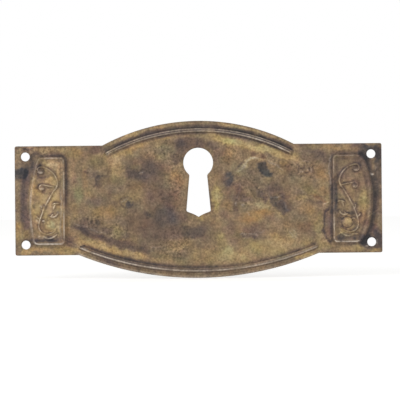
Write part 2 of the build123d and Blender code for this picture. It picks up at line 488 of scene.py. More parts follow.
# Patina, worked out for each point of the mesh. Tone is how bright the brass is, from black at 0 through its
# usual brown at 0.5 to worn bright at 1. Clouds are soft marks and blots are crisp ones: place and half
# sizes, then in percent the changes of tone, of gold (greyer below 0) and of redness (greener below 0), and
# the turn in degrees. Zeros at a mark's end are left out
usual_tone = 0.515
cloud_softness = 0.5
blot_softness = 0.25
clouds = [
    # Left tab and its panel
    (-49.2, -8.6, 0.9, 2.4, 10, 50, 20), (-46.9, -9, 1, 1.2, 8, 30, 10, -30),
    (-43.5, 13.9, 3.5, 0.7, -3, 10, 10), (-46, 10.6, 0.8, 0.8, 10, 10, 10), (-36.5, 14, 1.6, 0.6, 8, 10),
    (-46.7, -13.8, 2, 0.9, 22, 80, 30), (-42.8, -13.2, 2.6, 0.7, 12, 30, 60),
    (-36.5, -13.7, 3.4, 1, 12, 40, 25), (-31.2, -13.6, 2.2, 1, 17, 50, 40, -10),
    (-41.2, 0.4, 3.8, 9.4, 18, 25, 15), (-39.2, 10.1, 1.8, 0.9, 18, 10, 10),
    (-44, 9.8, 1.8, 1.2, -14, -40, 10, -15), (-44.6, -10.8, 1.2, 1, -12, -30),
    (-42.2, 7, 1.3, 1.3, -12, -20), (-41.4, 10.3, 1.4, 0.7, 10, 10), (-39.4, -7.6, 2.6, 2, 17, 15),
    (-40.1, -6.7, 1.1, 1.2, 4, 0, -50), (-37.8, 7.4, 0.9, 2.2, 15, 0, 30), (-39.9, 1, 0.9, 3, 7, 10),
    (-36, -6.4, 0.8, 2.4, 10, 40, 40), (-44.3, -5, 1, 2.4, 5, 0, 10),
    (-42, -10.7, 3.4, 0.6, -18, -50, -20), (-42.6, 5.6, 1.2, 1, -20, -20),
    (-48.6, 13.3, 0.8, 0.7, 12, 10, 10), (-45.2, -11.2, 1, 0.9, -15, -20),
    (-41.8, -1.9, 1.2, 1, -13, -20), (-44.8, 8.3, 1, 1, -13, -20), (-48.4, -6.9, 0.8, 1, 10, 60, 10),
    (-47.2, -8.9, 0.9, 1.4, 8, 30), (-41.6, 2.7, 1.2, 1, -12, -20), (-41.2, 7.3, 1, 0.9, -12, -20),
    (-39, -10.1, 1.3, 0.7, -13, -20), (-48.4, 5.7, 1.1, 0.8, -12, -10), (-43.4, 0.7, 0.9, 0.9, -12, -10),
    (-44.6, -3.7, 0.8, 1, 11, 20), (-36.8, 0, 0.8, 1.4, -12, -30), (-47.5, 14, 1.6, 0.7, -6),
    (-40, 12.9, 1.4, 0.9, -6), (-44.2, -11.6, 1.2, 1.2, -6),
    # Left of the keyhole, above the middle
    (-25, 11.9, 1.2, 0.9, 12, 40), (-22.6, 0.7, 1, 0.9, 11, 20), (-34, 5.9, 0.8, 1.1, -11),
    (-8.8, 16.5, 1.4, 0.6, 13, 40, 0, 12), (-33.5, 12.6, 2.4, 1.6, 4, 70, 25), (-15, -1, 12, 8.5, -6),
    (-27.8, 13.7, 2.2, 1.1, -18, -10, 25), (-22.6, 13, 2.2, 1.4, 16, 35, 15, 15),
    (-18.4, 15, 2.6, 0.8, 9, 20, 10, 22), (-29, 7.8, 1.6, 1.6, -10, 0, 10), (-24.4, 8, 1, 1.2, -9, 10),
    (-34.4, 8, 1, 3.5, 2, -10, 25), (-32.6, 2.6, 1, 3.8, 2, 30, -70), (-30.8, 7, 0.7, 3.2, 3, 30, 30),
    (-27.4, 5.9, 1.7, 1.7, -16, -10, -20), (-27.6, 10.2, 2.6, 1.9, -7, 40, -10),
    (-22.2, 9.4, 2, 2.8, 18, 30), (-22, 5.4, 2.2, 1.4, 0, 30, -25), (-15, 8.2, 4.9, 3.1, -18, -25, -10),
    (-18.2, 7.6, 1.3, 1.9, -5, -10), (-14.6, 6.2, 1.9, 1, -2, -10), (-16.8, 10.2, 1.2, 0.9, 8, 10, 30),
    (-13.6, 11.9, 2.2, 1.1, -11, 0, 20, 5), (-17, 3.8, 2.8, 1.2, -4, 20, 10),
    (-12, 2.2, 3, 2.8, -9, -25, 20), (-7.4, 0.2, 2.2, 2.4, -11, -10, 20),
    (-9.5, 13.2, 2.6, 1.5, -3, 10, -25, 15), (-4.9, 14.4, 1.5, 2, -19, -25, -20, 20),
    (-5.6, 11.8, 1.7, 1.4, -16, -10), (-9.4, 10.4, 1.6, 1.2, -7), (-6.2, 8.4, 1.8, 1.6, 5, 30, 10),
    (-6, 4.2, 1.8, 3.6, 2, 30, 60), (-28.7, -0.8, 1.9, 1.5, -11, -20, -10),
    (-25.4, 0.8, 2, 0.8, -5, 0, 0, 25), (-20.4, -0.8, 2.2, 1.8, 3, 20, -10),
    (-10.8, 13.3, 1.3, 1, -14, -10), (-16.8, 8.8, 1.1, 0.8, 13, 20), (-11.8, 8.8, 2.2, 2.2, -7, -10),
    (-8, 7, 1.2, 1.8, -5), (-18.2, 1.8, 2.6, 1.6, 5, 20), (-27.2, 4.4, 1.8, 1.2, -4),
    (-35, 5, 0.9, 1.4, -5), (-14, 4.2, 1.4, 0.9, -4),
    # Left of the keyhole, below the middle
    (-18.4, -13.7, 1.3, 0.8, -13, -10, 0, -20), (-22.6, -12.7, 1.2, 0.6, 12, 40, 0, -20),
    (-23.6, -17.3, 1.5, 0.5, -11, -20, 0, -20), (-27, -10.5, 1.2, 0.8, -12, -10, 0, -20),
    (-20.4, -9.5, 1.2, 0.9, -11, -30), (-24.8, -8.5, 1.3, 1, -14, -20),
    (-12, -16.6, 1.5, 0.8, 14, 20, 0, -8), (-25.5, -3.3, 3.4, 1.7, 6, 60, 25),
    (-33.5, -3, 1.2, 2.4, 3, 40), (-29.8, -7.2, 3.8, 1.9, -15, -20, 0, -10),
    (-35, -11.4, 0.9, 1.6, -10, -30, 25), (-16, -12.2, 2.4, 0.9, -10, -10, 0, -15),
    (-24.6, -15.9, 1.6, 0.8, -10, -10, 0, -20), (-21.6, -8.6, 2.2, 1.6, 3, 30, -20),
    (-18.6, -6.8, 1.7, 4.2, -9), (-15, -6, 2, 2.5, -6), (-9.5, -7.4, 5.6, 6, -12, -25),
    (-8.6, -4.3, 2.7, 2.8, -8, -40, -35, 20), (-4.3, -4.6, 1.4, 1.2, -10, -20, 25),
    (-1.4, -8.9, 3.2, 1.9, -24, -30, -20), (-6.4, -12.4, 2.6, 1.5, 8, 50, 10, 10),
    (-11.8, -13.6, 1.8, 0.8, -6, -10, -30), (-5.6, -17.2, 1.8, 1.2, 8),
    (-14.2, -6.4, 1.6, 1.6, 5, 10, 20), (-8, -15.8, 3.4, 0.8, -7, 20, -25, -5), (-8, -9.2, 1.3, 1.7, -6),
    (-16.2, -10.2, 1.6, 1, -5),
    # Above and below the keyhole
    (-1.6, 15.7, 3.6, 1.3, -18, -25), (1.8, 14.5, 3.2, 0.8, -12, -10, 0, -5),
    (3.3, 18.4, 2, 0.9, 24, 10, 0, -8), (-2.4, 14.4, 0.9, 0.7, -10, -10), (2, -15.4, 4, 1.7, 6, 40, -10),
    (6.2, -11.4, 1.4, 1.8, 10, 30, -10), (6.2, -15.4, 1.2, 1.8, 12, 10, -10), (0.4, -5.4, 1, 0.7, 12, 50),
    (4.4, -5.1, 0.8, 1, -12, -10), (0, -12.9, 1.7, 1.3, -6), (5.4, -10, 1.6, 1.1, 5, 10),
    # Right of the keyhole, above the middle
    (4.8, 10.5, 0.7, 1.2, -12, -20), (4, 14.7, 1.3, 0.9, -12, -10, 0, -20), (27.6, 0.5, 1.1, 1, 12, 40),
    (22.6, 0.5, 1, 1, -12, -30), (24.2, 12.3, 1.4, 0.8, -11, -30, 0, -20),
    (31.2, 12.9, 1.3, 0.9, -11, -20), (8.8, 15.4, 2.2, 1, 12, 20, -35, -12),
    (5.4, 12.8, 1.8, 1.5, -10, 0, 30, -20), (8, 11.8, 1.4, 2.2, 3, 40, 45),
    (13.6, 12.2, 1.6, 0.8, -4, 20, 0, -15), (14.8, 4.8, 3.2, 2.8, -9, -15, -15),
    (14.8, 8.1, 3.8, 1.3, -9, 0, -10, 15), (16, 1.8, 3, 1.2, -8, -10, -20), (10, -4, 0.9, 1.2, -9, 0, 10),
    (22.4, 5.8, 1.6, 1, -8), (26.4, -1.8, 1.2, 1.6, -9, -10), (32, -3.8, 0.9, 1.2, -9),
    (20.4, 10.2, 2.4, 0.9, 10, 10, 0, -20), (18.2, 13.2, 1.4, 0.9, 7, 10, 0, -10),
    (9.8, 1.8, 2.4, 3, -11, -10, 10), (23.5, 1.8, 1.5, 3.2, -12, 0, 10),
    (8.3, 5.6, 1.4, 1.7, -24, -40, -30), (4.8, 0.8, 1, 3.4, 22, 80, -20),
    (7.6, -0.6, 1.4, 3.2, -3, 10, 40), (20.6, 2.9, 1.9, 2.2, -17, -25, 0, -20),
    (17.2, -1.8, 1.9, 0.9, 22, 0, -20, -5), (13.4, -1.2, 1.4, 0.8, 5, 10),
    (30.6, 11.8, 3.2, 1.5, -15, -20, 10), (29.6, 14.1, 2, 0.8, -10, -10, 0, -5),
    (34.4, 14, 1.6, 0.6, 8, 10, 10), (35.4, 11, 1.4, 1.6, -13, -10, 10), (29.6, 8, 2.6, 1.6, -5, 10, 10),
    (29.8, 2.2, 1, 1.2, -6, 30), (24, 8.4, 1.5, 2.2, -8, 25, 25, 25), (33.5, 5.5, 1.2, 3, 5, 30, 30),
    (11.9, 9.6, 1, 0.7, -13, 0, 0, 35), (12, 7.1, 1, 0.8, 13, 20), (12.4, 14, 1.3, 0.7, -12, 0, 0, -10),
    (23.4, 9.6, 1.1, 1, 14, 40), (6.2, 5.4, 1, 1.6, -5, -10), (10, 7, 1.2, 1.4, -4),
    (14.2, 9.4, 1.2, 0.8, -5), (23, 5.2, 1.8, 1.5, -6), (23.8, -0.2, 1.5, 1.3, -7, -20, 0, -20),
    (32.6, 10, 2.4, 2.2, -5), (33.8, 1.9, 2.2, 1.2, 5, 40, 30),
    # Right of the keyhole, below the middle
    (20.8, -10.2, 1.2, 0.9, 14, 20), (13.4, -0.1, 1.1, 0.9, -15, -20), (24.6, -2.7, 0.9, 1.1, -14, -10),
    (19.4, -1, 0.8, 1, 13, 20), (15.4, -4.6, 4.8, 1.4, 9, 50, 60, 12), (19.6, -4.8, 1.4, 1, 2, -20, 50),
    (8.6, -7.9, 1.4, 2, -11, -30, 30), (4.4, -7.4, 1.5, 1.7, -4, 10, 15),
    (15.6, -8.2, 3.6, 1.4, -11, -25, 20, 8), (24, -7, 1.8, 1.2, 2, 10, 40),
    (17, -13.2, 8, 2, 14, 30, 0, 5), (23.8, -11.4, 3.6, 1.8, 11, 10, 10, 12),
    (8, -14.4, 1.5, 2.2, 19, 20, -35, 10), (11.5, -17.2, 5, 1.8, 14, 10, 0, 7),
    (21.5, -15.4, 4.5, 1.6, 9, 10, 0, 17), (28, -13, 2.2, 1.4, 10, 10, 0, 10),
    (28.8, -7.4, 2.8, 1.7, -7, 10, 35), (25.6, -10.3, 1.3, 1.2, 6, -10, -35),
    (32.7, -8.3, 0.9, 3.6, 6, 35, -15), (29.2, -3, 2.2, 1.6, 5, 20, 30), (31.4, -6.4, 1.4, 1, 7, 10),
    (35.3, -7, 0.9, 3.8, -7, -50, 50), (34, -13.4, 2, 1, 5, 35, -20), (11.2, -15.3, 1.5, 0.8, 11, 20),
    (17.4, -3.6, 2, 1, 5, 20, 20, 10), (22, -5.8, 1.4, 1.1, -7, 0, 20),
    # Right tab and its panel
    (39.6, 4.3, 1, 1.2, 12, 20), (42.4, 8.5, 1, 1, 11, 10), (39.2, -7.7, 0.8, 0.8, 12, 10),
    (45.4, 11.3, 0.9, 0.8, 12), (44, -12.5, 1.2, 0.7, 12), (41.4, 5.8, 4.2, 5, -10, -20, 15),
    (45.2, -1.2, 1.6, 3, 16, 45), (41.4, 2, 1.6, 3, 19, 30, 10), (38.6, 4.4, 0.9, 1.6, 10, 10),
    (44.8, -6, 1.2, 1.5, -6, -20, 60), (36.9, 1.8, 0.8, 4.4, -20, -20, -30),
    # The cloud at (40.6, -6.5) is a painted highlight on the right fruit's dome
    (37, -2.6, 0.7, 2.4, -16, -50, -30), (40.6, -6.5, 1.1, 1.1, 27, 40, 10),
    (40.4, -9, 1.8, 1, 20, 10, 10), (44.6, -3.8, 1, 1.4, 8, 10, 30),
    (45.6, 12.4, 1.9, 1.7, -32, -50, -30, -15), (48.8, 12.3, 1.3, 2.4, -34, -60, -40),
    (46.6, 9, 0.9, 1.4, -10, -20, -10, -20), (45.6, -11.7, 1.8, 1.5, -32, -60, -40, 20),
    (48.8, -11, 1.3, 2.4, -32, -60, -40), (42, -13.7, 3.4, 0.8, 14, 20, 10),
    (38.6, 13.9, 2, 0.6, 10, 20, 20), (49, 5.5, 1, 5.5, -18, -40, -20), (49.2, -4.5, 0.9, 3.5, -2, -40),
    (47.9, -8.4, 1.4, 1.1, -18, -30, 50), (47.8, -14.2, 1.4, 0.6, 20, 40, 10), (40, -10.5, 1, 0.7, 15),
    (40, -5, 1, 0.8, 14, 20), (44, 14.2, 2, 0.6, -15, -50), (45, -14.2, 1.2, 0.6, -13, -20),
    (46.2, -10.5, 0.9, 0.8, 13), (36.8, 13.9, 1.8, 0.6, 5, 20), (38.2, 10.6, 1.2, 1, -5),
    (39.2, -12, 2.4, 0.7, 7), (42.8, -6.2, 1.2, 0.9, 6),
]
blots = [
    (-48.4, 7.3, 1.6, 1.4, -27, -70, -80), (-48.9, 7.9, 0.9, 0.7, -10, -30, -20, 20),
    (-46.2, 14, 1.3, 0.45, -18), (-49.3, -7.2, 0.4, 0.6, -16), (-30.5, 7.3, 0.4, 0.35, -18, 0, 20),
    (-29.7, 9.7, 0.4, 0.35, -12, 0, 20), (-27.2, 5.8, 0.9, 0.6, -14, -20),
    (-15.5, 7.7, 0.7, 0.3, 22, 0, 0, -25), (-19.1, -1.1, 1, 0.8, -27, -30, -20, -10),
    (-31, -5.2, 0.9, 0.6, -10), (-29.3, -6, 0.8, 0.6, -10), (-27.4, -6.2, 1, 0.7, -14, 0, -20),
    (-13.9, -3.9, 1.1, 0.45, -11, -10, 0, -50), (15.1, 12.1, 0.9, 0.5, -20, 20, 20, 10),
    (17.8, 11.5, 0.9, 0.6, -24, 40, 50, -20), (18, 8, 2.1, 1.1, -34, -40, -70, -38),
    (10.7, 5.7, 0.5, 0.45, -16), (8.4, 5.5, 0.8, 1.2, -8, -40, -50, 10),
    (17, 1.3, 1.2, 0.7, -15, -40, -20, -30), (18.3, 0.1, 0.9, 0.8, -22, -20),
    (20.7, -0.6, 0.8, 1.3, -26, 0, -50, 10), (22.7, -2.4, 1.9, 1.25, -24, -50, -15, -35),
    # The blots at (34.9, -1.1) and (47.4, 6.4) are painted glints
    (34.9, -1.1, 0.7, 0.35, 34, -30, 0, 40), (47, 13.9, 1.6, 0.6, -16, -40, -30),
    (46.8, -13.5, 1.4, 0.6, -14, -40, -30), (47.4, 6.4, 0.5, 0.5, 15, -80, -30),
    (41.5, -3.8, 0.9, 0.75, -28, 20, -20), (42.8, -6.6, 0.6, 1, -22, 20),
    (38.6, -10.6, 1.2, 0.6, -18, -40, -40), (42.6, -10.6, 1.2, 0.5, -16, -40, -30),
    # The blot at (-41, -5.9) is painted shade that dims the left fruit's highlight
    (38.9, -5.2, 0.7, 0.6, -16, 0, -10), (-41, -5.9, 0.6, 0.6, -18),
]

# Streaks are places along the plate and a half width, then the same three changes: the stain and the bright
# run beside the lower rib, the bright runs under the upper one, rings, scratches, and the crescent by the
# right panel
crescent = [(35.8, -1.9), (34.6, -3.7), (33.9, -6), (33.9, -8.2), (34.6, -10.4), (36, -12.4)]
streaks = [
    ([(-46.5, 8), (-47.4, 4), (-47.7, 0), (-47.4, -4), (-46.3, -8)], 0.8, -3, -50, 10),
    ([(-44.9, 6.6), (-45.3, 3.5), (-45.5, 0), (-45.4, -4)], 0.6, 20, 10, 30),
    ([(-19.8, 13), (-17.2, 14), (-14.7, 14.9)], 0.9, 12, 60, 40),
    ([(-14.7, 15.6), (-11, 16.7), (-7.3, 17.2)], 0.4, 7, 20, 15),
    ([(-34.3, -7), (-31.5, -8.5), (-28.5, -9.6), (-25, -10.7), (-21, -12)], 0.7, -20, -10, 20),
    ([(-21, -12), (-17, -13.2), (-13.6, -14.1)], 0.75, -20, -10, 0),
    ([(-33.4, -11.1), (-29, -11.8), (-26, -12.7), (-22.5, -13.9)], 0.85, 19, 40, 25),
    ([(-22.5, -13.9), (-18.5, -15), (-14.8, -15.5)], 0.7, 16, 40, 20),
    ([(3.4, 16.9), (8.5, 15.6), (12.5, 14.5), (15.2, 13.8)], 1, 18, 60, 0),
    ([(15.4, 13.8), (18.6, 13.6), (22, 12.3), (26.6, 11.4)], 1, 24, 40, 10),
    ([(6, 20.5), (12, 19.4), (17, 17.8), (21.5, 16.1)], 0.45, 20, 0, 0),
    ([(-22, 16.2), (-18, 17.8), (-13, 19.2), (-9, 20.1)], 0.4, 17, 10, 0),
    ([(26, -16.4), (29, -15.5), (32.4, -14.4)], 0.6, 24, 50, 10),
    ([(-26.5, -16.4), (-22.5, -18.1), (-18.5, -19.2)], 0.7, -8, -10, 10),
    ([(10.9, 7.5), (12, 8.6), (13, 9.9), (14.2, 11), (15.2, 11.4)], 0.4, 22, 0, -20),
    ([(14.6, 11.3), (15.2, 11.4), (16.3, 11.1), (17.3, 10.2)], 0.38, 18, 0, -10),
    ([(11.1, 3.4), (10.5, 0.4), (9.9, -3.2)], 0.85, -13, -10, 10),
    ([(12.6, 1.6), (12, -1.6)], 0.7, -8, -10, 0),
    ([(31.4, 1.1), (33.2, 0.3), (34.8, -0.8)], 0.4, -8, 40, 70),
    ([(11.3, -10.4), (13.5, -10.2), (16, -10.1)], 0.5, -15, -20, 0),
    ([(7.2, -9.2), (8.8, -11.2), (12, -12), (16, -11.8), (19.4, -10.6)], 0.4, -6, 0, 10),
    (crescent, 0.4, -18, 0, 0),
]

# Thin lines are places, a half width, and in percent how pale they are, or how dark below 0: wrinkles, a
# ring, scratches and edges, and painted glints on the left panel's ornament, round the lower right nail
# hole and by the right panel's bow
thin_lines = [
    ([(-43.5, 7.1), (-42.8, 6.5), (-41.8, 6.8)], 0.35, -22),
    ([(-43.4, 9.9), (-42.5, 10.2), (-41.5, 9.8)], 0.35, -16),
    ([(-43.8, 4.5), (-44, 3.4), (-43.2, 2.4), (-41.8, 2.4)], 0.35, -22),
    ([(-42.9, -1.9), (-42.8, -3)], 0.3, -16),
    ([(-42.2, -0.8), (-41.6, -2)], 0.3, -18),
    ([(-42.6, -5.4), (-42.6, -6.8), (-42.2, -7.9)], 0.35, -16),
    # Painted glints on the left panel's ornament
    ([(-43, -1.2), (-42.7, -1.7)], 0.25, 30),
    ([(-42.5, -5.8), (-42, -5.8)], 0.25, 40),
    ([(-44.2, -5), (-43.8, -5.4)], 0.25, 30),
    ([(-38.4, -3), (-38.2, -3.5)], 0.3, 30),
    ([(-39.4, -4.4), (-39, -4.5)], 0.25, 25),
    ([(-43.6, -9.7), (-42.6, -9.9), (-41.6, -10)], 0.28, 25),
    ([(-37.4, 2.8), (-37.5, -4), (-37.4, -10.8)], 0.2, 22),
    ([(-31.2, -12.2), (-32.1, -12.5), (-32.3, -13), (-31.8, -13.5)], 0.25, -24),
    ([(-31.7, -13), (-30.4, -13.4)], 0.22, 40),
    ([(-25.1, 12.9), (-25.2, 12.4), (-24.6, 12.1)], 0.25, -16),
    ([(-24.9, 12.5), (-24, 12.95)], 0.24, 30),
    ([(25.2, 13.4), (25.8, 13), (25.9, 12.5), (25.2, 12.1)], 0.28, -28),
    ([(32.1, -12.4), (32.6, -12.8), (32.3, -13.2)], 0.28, -22),
    ([(-28.6, 7.2), (-28.1, 5.8), (-27.6, 4.2)], 0.3, -14),
    ([(-27.6, 6.5), (-26, 6.6), (-24.4, 6.4)], 0.3, -12),
    ([(-21.4, -0.6), (-20.8, 0.5), (-19.6, 0.9), (-18.3, 0.5), (-17.7, -0.7), (-18.2, -1.9)], 0.22, -22),
    ([(-18.2, -1.9), (-19.4, -2.3), (-20.7, -1.9), (-21.4, -0.6)], 0.22, -22),
    ([(-20.9, -0.9), (-20.2, 0.1), (-19.3, 0.3)], 0.2, 22),
    ([(-16.2, 7.4), (-15.4, 7.9), (-14.8, 7.6)], 0.2, 30),
    ([(-34, -6.2), (-31, -7.2), (-28.4, -8.2), (-25.6, -9.2)], 0.2, 14),
    ([(-13, -12.6), (-11.6, -13.2), (-10.2, -12.9)], 0.22, 14),
    ([(-0.2, 14.6), (-0.1, 16.2)], 0.2, -16),
    ([(10.2, 8), (11.4, 9.1), (12.4, 10.2), (13.4, 11.3)], 0.22, -12),
    ([(11.9, 8), (12.5, 8.5)], 0.25, -16),
    ([(10.9, 7.5), (12, 8.6), (13, 9.9), (14.2, 11), (15.2, 11.4), (16.4, 11.1)], 0.25, 30),
    ([(18.8, 10.2), (20.4, 9.4), (22, 8.4), (23.3, 7.5)], 0.22, 22),
    ([(19.8, 10.6), (21.4, 9.9), (22.6, 9)], 0.2, -12),
    ([(11, 4.4), (10.7, 2.8)], 0.25, -12),
    ([(9.4, -2.8), (10.2, -3.3), (11, -3.1)], 0.25, -14),
    ([(10.2, -1.2), (10.3, -1.9)], 0.3, 30),
    ([(12, -1.9), (12.6, -1.6)], 0.25, 25),
    ([(13.7, -3.8), (14, -4.4)], 0.25, 25),
    ([(13.1, -3.7), (13.4, -4.2)], 0.22, -20),
    ([(11.4, 4), (11, 2), (10.6, 0.4)], 0.2, 14),
    ([(12.6, 1.8), (12.2, 0.6)], 0.22, -10),
    ([(15.4, 3.4), (16.4, 2.4), (17.6, 2.6), (18.6, 1.8)], 0.22, -14),
    ([(19.4, 1.2), (20.2, 0.4), (21.4, 0.2), (22.8, 1)], 0.22, 16),
    ([(21.6, -1.2), (22.8, -0.8), (23.8, -1.8), (24.2, -3.2)], 0.22, 14),
    ([(11.6, -10.2), (13.4, -10.1), (15.6, -9.9)], 0.22, -8),
    ([(11.2, -10), (11.8, -9.6), (13.2, -9.6), (14.6, -9.4), (16, -9.5)], 0.22, 24),
    ([(15.4, -8.6), (16.8, -8.9), (17.8, -8.4)], 0.22, 14),
    ([(24.2, -8.6), (25, -9.6), (25.6, -11)], 0.22, 16),
    ([(25.8, -8.4), (26.4, -9.8), (26.2, -11.2)], 0.22, 14),
    ([(26.6, 9.6), (27.3, 8.6), (28.2, 8), (28.9, 8.6), (28.6, 9.4)], 0.22, -20),
    ([(28.4, 7.4), (29.3, 6.9), (30.2, 7.4), (30.4, 8.4), (29.8, 9.2)], 0.22, -20),
    ([(30.8, 9.8), (31.5, 9), (31.2, 8), (31.9, 7.2)], 0.22, -18),
    ([(27, 6.8), (28, 6.2), (29.2, 6)], 0.22, -16),
    ([(26.9, 8.1), (27.8, 7.3), (28.8, 7.8)], 0.2, 16),
    ([(29, 8.3), (29.6, 7.9), (29.6, 8.8)], 0.2, 16),
    ([(30.9, 8.8), (30.8, 7.6), (31.3, 6.6)], 0.2, 16),
    ([(27.8, 10.2), (29.4, 10.3), (30.4, 10)], 0.2, 14),
    ([(25.6, 3.6), (28.4, 1.4), (31.5, 0.5), (34.6, 0.7)], 0.25, -12),
    ([(26.2, 1.8), (29, -0.4), (32, -1.2), (34.4, -1)], 0.25, -12),
    ([(27, 2.9), (29.8, 1), (32.4, 0.1)], 0.2, 10),
    (crescent, 0.3, -17),
    ([(35.8, 3.6), (35.75, 7), (35.8, 11.4)], 0.22, 22),
    # Painted glints round the lower right nail hole
    ([(45.4, -13), (45.9, -12.9), (46.2, -12.6)], 0.2, 40),
    ([(48.2, -12.6), (48.4, -11.8), (48.2, -11)], 0.2, 40),
    ([(48.3, 9), (48.5, 7.8)], 0.2, 20),
    # A painted glint by the right panel's bow
    ([(47.4, 6.5), (47.4, 6.3)], 0.28, 130),
]

# Where the brass is more or less speckled, as place, half sizes, how much in percent, and turn
speckled = [
    (-6.4, 5.6, 2.8, 5.4, 100), (-21.6, -8.6, 3.6, 2.2, 100, -10), (-7, -12.4, 4.2, 2.6, 100, 10),
    (-30, -5.6, 3.6, 1.8, 60), (-10, 13, 4, 2.6, 60, 10), (15, 3, 5, 5.5, 40), (29, 8, 4, 3, 60),
    (24, -9.6, 5, 2.6, 10), (14.6, -5.2, 5.5, 2.2, -30, 10), (7, 12.5, 3.2, 2.6, 90),
    (-44, 13.4, 6, 1.5, 80), (-41, 0, 4, 10, -30), (18, -13, 8, 2.4, -30), (-13.5, -6, 4.5, 4, -30),
]

# Marks have ragged edges, because the places that they are drawn at are shifted by two sizes of soft noise
shifted = np.array([all_x, all_z])
for span, shift, seed in [(5, 0.22, 11), (1.7, 0.16, 13)]:
    shifted[0] += ripples(all_x, all_z, (span, shift, seed))
    shifted[1] += ripples(all_x, all_z, (span, shift, seed + 1))
percent = 0.01
streak_softness = 0.5
streak_ends = (0.4, 8)


def end_fade(share, at_end, rise):
    """1 along most of a line, falling by a parabola of the share along it to a lower value at its ends."""
    return np.minimum(1, at_end + rise * share * (1 - share))


def streaked(lines):
    """Sum over the lines of each one's changes, which ease to 0 across its edge and fade at its ends."""
    total = np.zeros((len(all_x), 3))
    for places, half, *changes in lines:
        distance, share = line_distance([1, 1j] @ shifted, np.array(places) @ [1, 1j])
        weight = ease(1 + streak_softness, 1 - streak_softness, distance / half)
        total += (weight * end_fade(share, *streak_ends))[:, None] * changes
    return total


usual_speckle = 0.3
changes = marked(*shifted, clouds, cloud_softness, kinds=3)
changes += marked(*shifted, blots, blot_softness, kinds=3)
tone, gold, redness = percent * (changes + streaked(streaks)).T
tone += usual_tone + ripples(all_x, all_z, (9, 0.02, 21), (3.5, 0.02, 22))
redness += ripples(all_x, all_z, (6, 0.12, 23), (2.5, 0.08, 25))
gold += ripples(all_x, all_z, (5, 0.15, 26))
more_speckle = percent * marked(*shifted, speckled, cloud_softness)[:, 0]
speckle = np.clip(usual_speckle + more_speckle, 0, 1)

# Cut edges hold a little dirt
edge_dirt = 0.06
outline_gap = np.minimum(edge_height(all_x, 1, 0) - all_z, all_z - edge_height(all_x, -1, 0))
outline_gap = np.minimum(outline_gap, tab_end - np.abs(all_x))
tone -= edge_dirt * ease(0.8, 0.1, np.minimum(outline_gap, hole_distance(all_x, all_z)))

# Dirt and wear follow the relief, with painted shade and painted highlights: for each point its distance
# from a rib's middle, from a rim or from the ornament's edge, with how much dirt and painted shade and how
# much wear and painted highlight the line has there. The rubbed line of a rib, partly a painted highlight,
# leans across it along the plate, and its bead is greyer than the face
worn_range = (0.15, 1.8)
worn = np.clip(1 + ripples(all_x, all_z, (4, 0.5, 24)), *worn_range)
relief = {}
rib_line_leans = {1: ([-24, 0, 24], [-0.06, 0.02, 0.2]), -1: ([-30, 0, 24], [0.03, 0.06, -0.08])}
bead_half = 0.7
bead_redness = -0.15
bead_gold = -0.6
for side, name in [(1, "upper_rib"), (-1, "lower_rib")]:
    above, past_end = rib_place(all_x, all_z, side)
    present = ease(0.7, -0.3, past_end)
    bright_end = ease(2, 16, side * all_x)
    line_gap = above - np.interp(all_x, *rib_line_leans[side])
    rib_rub_and_highlight = present * (0.5 + 0.5 * worn) * (0.75 + 0.35 * bright_end)
    relief[name] = (line_gap, present * (0.8 + 0.25 * bright_end), rib_rub_and_highlight)
    on_bead = present * bell(above, bead_half)
    redness += bead_redness * on_bead
    gold += bead_gold * on_bead

# The lower rib's upper flank is darker at its left end and lighter at its right end
flank_above = 0.28
flank_half = 0.17
flank_tones = ([-31, -22, 14, 26], [-0.14, -0.028, 0.028, 0.14])
above_lower_rib = rib_place(all_x, all_z, -1)[0]
tone += bell(above_lower_rib - flank_above, flank_half) * np.interp(all_x, *flank_tones)

# Panel rims: on the left one dirt fills a wide moat along the bow and lies thicker towards the top,
# partly as painted shade, and the bottom is rubbed bright, partly as a painted highlight; on the right one
# the moat is nearly black and the rim is dull but for its ends. Along the bottom of both, where the rim's
# outer slope faces down and its inner slope faces up, the moat gets less dirt, the inside painted shade
# and the crest a painted highlight. Moats are wider along a bow, so for each distance from the rim there,
# moat_widths has the distance whose dirt it takes
moat_widths = {
    1: ([0, 0.3, 0.55, 0.8, 1.1, 1.6, 2.1, 2.6], [0, 0.15, 0.3, 0.5, 0.62, 1, 1.3, 1.7]),
    -1: ([0, 0.3, 0.6, 0.9, 1.5, 2, 2.5, 2.8, 3.2], [0, 0.16, 0.28, 0.37, 0.4, 0.5, 0.63, 0.95, 1.6]),
}
rim_shade = 0.1
rim_shade_half = 0.45
rim_greyness = 0.4
rim_grey_half = 0.4
panel_gap = panel_distance(all_x, all_z)
on_right = all_x > 0
facing_down = ease(0.3, 0.9, (panel_gap - panel_distance(all_x, all_z + probe)) / probe)
on_bow = ease(0.2, 0.7, (panel_distance(all_x + np.sign(all_x) * probe, all_z) - panel_gap) / probe)
upper = ease(-6, 6, all_z)
bow_gap = by_side(all_x, {side: np.interp(panel_gap, *widths) for side, widths in moat_widths.items()})
outer_gap = panel_gap + on_bow * (bow_gap - panel_gap)
moat_right = 0.33 - 0.08 * upper - 0.14 * facing_down + 0.14 * on_bow
moat_left = 0.14 + 0.22 * upper * (1 - on_bow) - 0.12 * facing_down
moat_left += on_bow * (0.03 + 0.09 * ease(-8, -4, all_z))
moat = np.where(on_right, moat_right, moat_left)
inner_dirt_and_shade = np.where(on_right, 0.14 + 0.05 * facing_down, 0.08 + 0.04 * upper + 0.14 * facing_down)
dull = ease(7.5, 4.5, np.abs(all_z - 1)) * (1 - on_bow)
rub_and_highlight_right = (0.3 - 0.15 * upper + 0.45 * facing_down) * (1 - on_bow) * (1 - dull)
rub_and_highlight_left = 0.45 - 0.15 * upper + 0.75 * facing_down - 0.1 * on_bow
rim_rub_and_highlight = worn * np.where(on_right, rub_and_highlight_right, rub_and_highlight_left)
outer = panel_gap > 0
